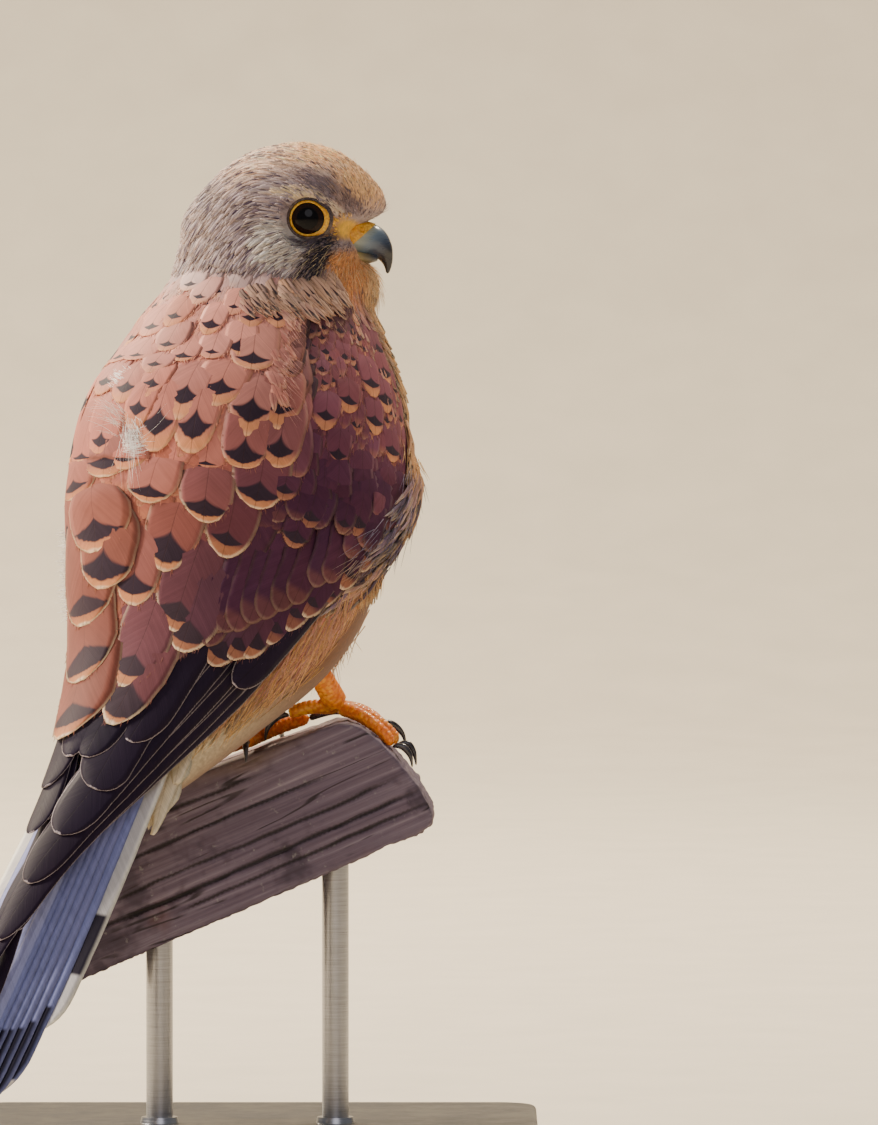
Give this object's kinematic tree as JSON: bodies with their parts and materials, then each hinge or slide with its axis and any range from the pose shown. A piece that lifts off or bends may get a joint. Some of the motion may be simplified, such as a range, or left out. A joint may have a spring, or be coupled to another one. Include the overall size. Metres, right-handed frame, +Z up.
{
  "type": "perched kestrel model on a display stand",
  "caption": "Still life-size male kestrel with folded wings and turned head, gripping a cut timber rail on a flat metal stand.",
  "frame": {"origin": "centre of the underside of the stand's base plate", "axes": "+Z up; +X along the perch, towards where the bill points; +Y away from the bird's back"},
  "size_m": [0.1576, 0.1689, 0.2648],
  "materials": {
    "head_plumage": "short grey feathers, matte",
    "body_plumage": "soft buff feathers, matte",
    "wing_plumage": "spotted rufous feathers, matte",
    "tail_plumage": "slate grey feathers with a dark end band, matte",
    "eye": "wet gloss",
    "cere_skin": "bare waxy skin, satin",
    "bill_horn": "smooth horn, satin",
    "leg_skin": "scaly bare skin, satin",
    "claw_horn": "smooth horn, satin",
    "perch_timber": "weathered sawn timber, matte",
    "stand_paint": "black powder coat, satin",
    "stand_steel": "brushed"
  },
  "bodies": {
    "root": {"head": "head_plumage", "neck": "body_plumage", "torso": "body_plumage", "wing_left": "wing_plumage", "wing_right": "wing_plumage", "tail": "tail_plumage", "eye_left": "eye", "eye_right": "eye", "cere": "cere_skin", "bill_upper": "bill_horn", "bill_lower": "bill_horn", "leg_left": "leg_skin", "leg_right": "leg_skin", "claw_left_back": "claw_horn", "claw_left_inner": "claw_horn", "claw_left_middle": "claw_horn", "claw_left_outer": "claw_horn", "claw_right_back": "claw_horn", "claw_right_inner": "claw_horn", "claw_right_middle": "claw_horn", "claw_right_outer": "claw_horn", "perch_rail": "perch_timber", "stand_base": "stand_paint", "stand_rod_left": "stand_steel", "stand_rod_right": "stand_steel"}
  },
  "joints": []
}
